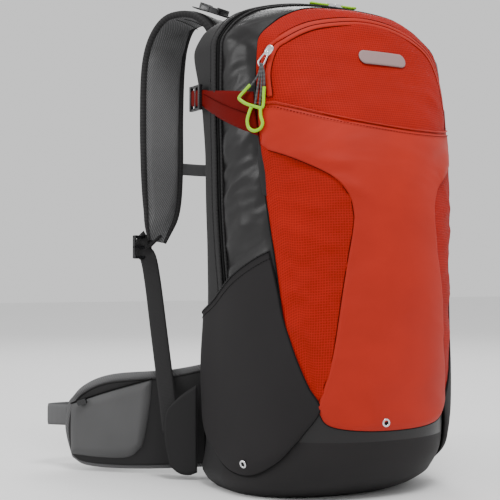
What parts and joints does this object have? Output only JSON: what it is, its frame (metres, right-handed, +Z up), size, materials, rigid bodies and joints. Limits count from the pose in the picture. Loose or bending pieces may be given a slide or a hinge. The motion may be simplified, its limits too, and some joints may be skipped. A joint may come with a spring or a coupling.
{
  "type": "daypack",
  "caption": "Panel-loading daypack with a framed mesh back, padded shoulder straps, a hip belt with wing pockets, front stash pocket, side pockets and zipped front pocket.",
  "frame": {"origin": "on the ground under the pack, in the flat of the base, on the plane midway between the shoulder straps", "axes": "+Z up, along the pack's height; +Y towards the wearer's back, out through the back panel; -X is the wearer's left"},
  "size_m": [0.4692, 0.389, 0.5339],
  "materials": {
    "ripstop_red": "ripstop nylon, slight sheen",
    "smooth_red": "plain woven nylon, matte",
    "dark_red": "plain woven nylon, matte",
    "grey_nylon": "coated nylon, slight sheen",
    "black_nylon": "coated nylon, matte",
    "pocket_grey": "stretch mesh",
    "spacer_mesh": "spacer mesh over foam",
    "webbing": "woven polyamide webbing",
    "buckle_plastic": "moulded acetal, fine texture",
    "zip_coil": "coil zip on woven tape",
    "slider_metal": "cast slider, bright",
    "lime_cord": "braided cord and moulded pull",
    "frame_wire": "drawn rod",
    "frame_sheet": "extruded sheet",
    "lining": "thin lining cloth",
    "print_grey": "flat print"
  },
  "bodies": {
    "root": {"base_panel": "grey_nylon", "body_panel": "ripstop_red", "back_panel": "black_nylon", "front_panel": "smooth_red", "front_zip": "zip_coil", "front_mark": "print_grey", "main_zip": "zip_coil", "zip_flap": "grey_nylon", "stash_pocket": "smooth_red", "side_pocket_left": "grey_nylon", "side_pocket_right": "grey_nylon", "comp_wing_left": "dark_red", "comp_wing_right": "dark_red", "back_pad": "spacer_mesh", "lumbar_pad": "spacer_mesh", "frame_sheet": "frame_sheet", "frame_wire": "frame_wire", "inner_wall": "lining", "anchor_wing_left": "grey_nylon", "anchor_wing_right": "grey_nylon", "drain_eyelets": "slider_metal"},
    "strap_left": {"shoulder_pad_left": "spacer_mesh", "lift_strap_left": "webbing", "lower_strap_left": "webbing"},
    "sternum_left": {"sternum_clip_left": "buckle_plastic", "sternum_strap_left": "webbing", "sternum_socket": "buckle_plastic"},
    "strap_lock_left": {"strap_lock_left": "buckle_plastic"},
    "lift_lock_left": {"lift_lock_left": "buckle_plastic"},
    "belt_left": {"belt_wing_left": "black_nylon", "belt_pocket_left": "pocket_grey", "belt_tip_left": "webbing"},
    "hip_strap_left": {"hip_strap_left": "webbing", "hip_socket": "buckle_plastic"},
    "main_slider_left": {"main_slider_left": "slider_metal"},
    "main_pull_left": {"main_pull_left": "lime_cord"},
    "comp_lock_left": {"comp_lock_left": "buckle_plastic"},
    "belt_slider_left": {"belt_slider_left": "slider_metal"},
    "strap_right": {"shoulder_pad_right": "spacer_mesh", "lift_strap_right": "webbing", "lower_strap_right": "webbing"},
    "sternum_right": {"sternum_clip_right": "buckle_plastic", "sternum_strap_right": "webbing", "sternum_prongs": "buckle_plastic"},
    "strap_lock_right": {"strap_lock_right": "buckle_plastic"},
    "lift_lock_right": {"lift_lock_right": "buckle_plastic"},
    "belt_right": {"belt_wing_right": "black_nylon", "belt_pocket_right": "pocket_grey", "belt_tip_right": "webbing"},
    "hip_strap_right": {"hip_strap_right": "webbing", "hip_prongs": "buckle_plastic"},
    "main_slider_right": {"main_slider_right": "slider_metal"},
    "main_pull_right": {"main_pull_right": "lime_cord"},
    "comp_lock_right": {"comp_lock_right": "buckle_plastic"},
    "belt_slider_right": {"belt_slider_right": "slider_metal"},
    "front_slider": {"front_slider": "slider_metal"},
    "front_pull": {"front_pull": "lime_cord"},
    "haul_loop": {"haul_loop": "webbing"}
  },
  "joints": [
    {"name": "strap_swing_left", "type": "hinge", "parent": "root", "child": "strap_left", "pos_m": [-0.06, 0.112, 0.45], "axis": [0.217, 0, 0.9762], "range_deg": [0, 6]},
    {"name": "sternum_height_left", "type": "slide", "parent": "strap_left", "child": "sternum_left", "axis": [0, 0, 1], "range_m": [-0.025, 0.025]},
    {"name": "strap_lock_tilt_left", "type": "hinge", "parent": "strap_left", "child": "strap_lock_left", "pos_m": [-0.141, 0.208, 0.269], "axis": [0.96, 0.28, 0], "range_deg": [0, 25]},
    {"name": "belt_wrap_left", "type": "hinge", "parent": "root", "child": "belt_left", "pos_m": [-0.092, 0.122, 0.06], "axis": [0, 0, -1], "range_deg": [0, 35]},
    {"name": "hip_strap_swing_left", "type": "hinge", "parent": "belt_left", "child": "hip_strap_left", "pos_m": [-0.2345, 0.268, 0.061], "axis": [0, 0, 1], "range_deg": [0, 60]},
    {"name": "main_zip_slide_left", "type": "slide", "parent": "root", "child": "main_slider_left", "axis": [-0.9943, 0, -0.107], "range_m": [0, 0.012]},
    {"name": "main_pull_lift_left", "type": "hinge", "parent": "main_slider_left", "child": "main_pull_left", "pos_m": [0.003, 0.028, 0.5177], "axis": [0, 1, 0], "range_deg": [0, 100]},
    {"name": "comp_lock_tilt_left", "type": "hinge", "parent": "root", "child": "comp_lock_left", "pos_m": [-0.1385, 0.061, 0.412], "axis": [0, 0, 1], "range_deg": [0, 30]},
    {"name": "belt_zip_slide_left", "type": "slide", "parent": "belt_left", "child": "belt_slider_left", "axis": [0.648, -0.6981, 0.3045], "range_m": [0, 0.035]},
    {"name": "strap_swing_right", "type": "hinge", "parent": "root", "child": "strap_right", "pos_m": [0.06, 0.112, 0.45], "axis": [0.217, 0, -0.9762], "range_deg": [0, 6]},
    {"name": "sternum_height_right", "type": "slide", "parent": "strap_right", "child": "sternum_right", "axis": [0, 0, 1], "range_m": [-0.025, 0.025]},
    {"name": "strap_lock_tilt_right", "type": "hinge", "parent": "strap_right", "child": "strap_lock_right", "pos_m": [0.141, 0.208, 0.269], "axis": [0.96, -0.28, 0], "range_deg": [0, 25]},
    {"name": "belt_wrap_right", "type": "hinge", "parent": "root", "child": "belt_right", "pos_m": [0.092, 0.122, 0.06], "axis": [0, 0, 1], "range_deg": [0, 35]},
    {"name": "hip_strap_swing_right", "type": "hinge", "parent": "belt_right", "child": "hip_strap_right", "pos_m": [0.2345, 0.268, 0.061], "axis": [0, 0, -1], "range_deg": [0, 60]},
    {"name": "main_zip_slide_right", "type": "slide", "parent": "root", "child": "main_slider_right", "axis": [0.9943, 0, -0.107], "range_m": [0, 0.012]},
    {"name": "main_pull_lift_right", "type": "hinge", "parent": "main_slider_right", "child": "main_pull_right", "pos_m": [0.013, 0.028, 0.5177], "axis": [0, -1, 0], "range_deg": [0, 100]},
    {"name": "comp_lock_tilt_right", "type": "hinge", "parent": "root", "child": "comp_lock_right", "pos_m": [0.1385, 0.061, 0.412], "axis": [0, 0, -1], "range_deg": [0, 30]},
    {"name": "belt_zip_slide_right", "type": "slide", "parent": "belt_right", "child": "belt_slider_right", "axis": [-0.648, -0.6981, 0.3045], "range_m": [0, 0.035]},
    {"name": "lift_lock_tilt_left", "type": "hinge", "parent": "strap_left", "child": "lift_lock_left", "pos_m": [-0.07632, 0.12967, 0.52316], "axis": [0.8401, 0.5415, 0.0327], "range_deg": [0, 25]},
    {"name": "lift_lock_tilt_right", "type": "hinge", "parent": "strap_right", "child": "lift_lock_right", "pos_m": [0.07632, 0.12967, 0.52316], "axis": [0.8401, -0.5415, -0.0327], "range_deg": [0, 25]},
    {"name": "front_zip_slide", "type": "slide", "parent": "root", "child": "front_slider", "axis": [0.2912, -0.3663, 0.8837], "range_m": [0, 0.015]},
    {"name": "front_pull_lift", "type": "hinge", "parent": "front_slider", "child": "front_pull", "pos_m": [-0.1143, -0.0272, 0.4445], "axis": [-0.6222, 0.7828, 0], "range_deg": [0, 70]},
    {"name": "haul_loop_fold", "type": "hinge", "parent": "root", "child": "haul_loop", "pos_m": [0, 0.109, 0.497], "axis": [1, 0, 0], "range_deg": [-90, 0]}
  ]
}
